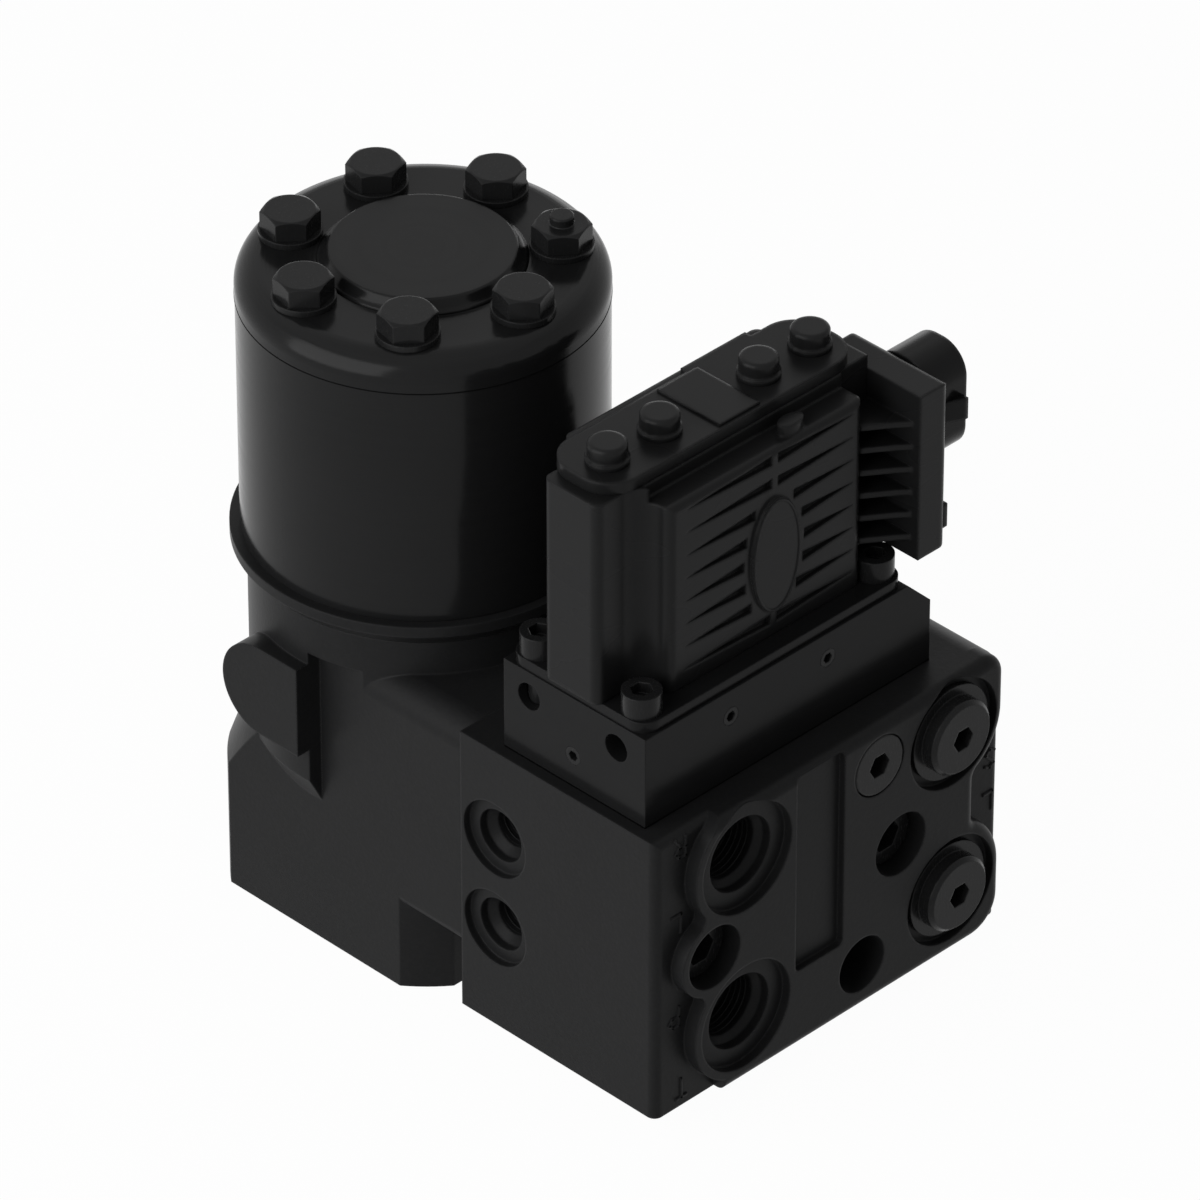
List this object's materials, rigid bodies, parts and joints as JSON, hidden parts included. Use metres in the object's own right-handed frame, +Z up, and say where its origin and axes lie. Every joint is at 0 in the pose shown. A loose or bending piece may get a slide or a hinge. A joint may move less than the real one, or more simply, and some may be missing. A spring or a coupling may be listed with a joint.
{
  "type": "orbital steering unit",
  "caption": "Hydrostatic steering unit: gear set with bolted end cover on a cast body, ported valve block with plugs, and a finned electric control module on an adaptor plate.",
  "frame": {"origin": "centre of the four column screws on the face that bolts to the steering column", "axes": "+Z up along the gear set, away from the column face; -Y out of the hose ports; -X out of the two side ports"},
  "size_m": [0.1316, 0.1766, 0.1934],
  "materials": {
    "cast_housing": "satin black paint on a fine cast surface",
    "dark_steel": "satin black on machined steel",
    "dark_fastener": "black oxide, satin",
    "inner_steel": "ground",
    "spring_steel": "satin",
    "seal_rubber": "matt",
    "cage_plastic": "matt",
    "module_black": "satin",
    "tag_black": "satin",
    "connector_black": "satin",
    "contact_brass": "polished"
  },
  "bodies": {
    "casing": {"housing": "cast_housing", "distributor_plate": "inner_steel", "gear_ring": "dark_steel", "lower_face_seal": "seal_rubber", "upper_face_seal": "seal_rubber", "end_cover": "dark_steel", "cover_washers": "dark_fastener", "cover_screws": "dark_fastener", "pin_screw": "dark_fastener", "lower_race": "inner_steel", "dust_seal": "seal_rubber", "shaft_seal": "seal_rubber", "valve_block": "cast_housing", "block_screws": "dark_fastener", "port_plugs": "dark_fastener", "flush_plug": "dark_fastener", "relief_seat": "inner_steel", "check_seat": "inner_steel", "check_stop": "inner_steel", "bore_plug": "dark_fastener", "left_spring": "spring_steel", "right_spring": "spring_steel", "relief_spring": "spring_steel", "sump_plug": "dark_fastener", "adaptor_plate": "dark_steel", "set_screws": "dark_fastener", "base_plate": "dark_steel", "module_screws": "dark_fastener", "module_housing": "module_black", "module_lid": "module_black", "solenoid_caps": "module_black", "tag_plate": "tag_black", "connector_tower": "module_black", "connector_socket": "connector_black", "contact_pins": "contact_brass"},
    "valve_sleeve": {"sleeve": "inner_steel", "cross_pin": "inner_steel", "leaf_springs": "spring_steel", "upper_race": "inner_steel"},
    "valve_spool": {"spool": "inner_steel"},
    "orbit_carrier": {"spacer": "inner_steel"},
    "gear_rotor": {"rotor": "inner_steel"},
    "cardan": {"cardan_shaft": "inner_steel"},
    "bearing_cage": {"needle_cage": "cage_plastic", "needles": "inner_steel"},
    "directional_spool": {"block_spool": "inner_steel"},
    "relief_cone": {"relief_poppet": "inner_steel"},
    "check_element": {"check_ball": "inner_steel"}
  },
  "joints": [
    {"name": "sleeve_turn", "type": "hinge", "parent": "casing", "child": "valve_sleeve", "pos_m": [0, 0, 0], "axis": [0, 0, 1], "continuous": true},
    {"name": "spool_turn", "type": "hinge", "parent": "valve_sleeve", "child": "valve_spool", "pos_m": [0, 0, 0], "axis": [0, 0, 1], "range_deg": [-8, 8], "stiffness_Nm_per_rad": 12, "deforming": ["leaf_springs"]},
    {"name": "orbit", "type": "hinge", "parent": "casing", "child": "orbit_carrier", "pos_m": [0, 0, 0], "axis": [0, 0, 1], "continuous": true},
    {"name": "rotor_spin", "type": "hinge", "parent": "orbit_carrier", "child": "gear_rotor", "pos_m": [0.0031, 0.00077, 0.14], "axis": [0, 0, 1], "continuous": true},
    {"name": "shaft_spin", "type": "hinge", "parent": "orbit_carrier", "child": "cardan", "pos_m": [0, 0, 0.0385], "axis": [0.0332, 0.0083, 0.9994], "continuous": true},
    {"name": "cage_turn", "type": "hinge", "parent": "casing", "child": "bearing_cage", "pos_m": [0, 0, 0.015], "axis": [0, 0, 1], "continuous": true},
    {"name": "spool_shift", "type": "slide", "parent": "casing", "child": "directional_spool", "axis": [1, 0, 0], "range_m": [-0.005, 0.005], "stiffness_N_per_m": 3000, "deforming": ["left_spring", "right_spring"]},
    {"name": "relief_lift", "type": "slide", "parent": "casing", "child": "relief_cone", "axis": [0, -1, 0], "range_m": [0, 0.002], "stiffness_N_per_m": 20000, "deforming": ["relief_spring"]},
    {"name": "check_lift", "type": "slide", "parent": "casing", "child": "check_element", "axis": [0, 1, 0], "range_m": [0, 0.002]}
  ],
  "couplings": [
    {"joint": "orbit", "follows": "sleeve_turn", "ratio": -6},
    {"joint": "rotor_spin", "follows": "sleeve_turn", "ratio": 7},
    {"joint": "shaft_spin", "follows": "sleeve_turn", "ratio": 7},
    {"joint": "cage_turn", "follows": "sleeve_turn", "ratio": 0.5}
  ]
}
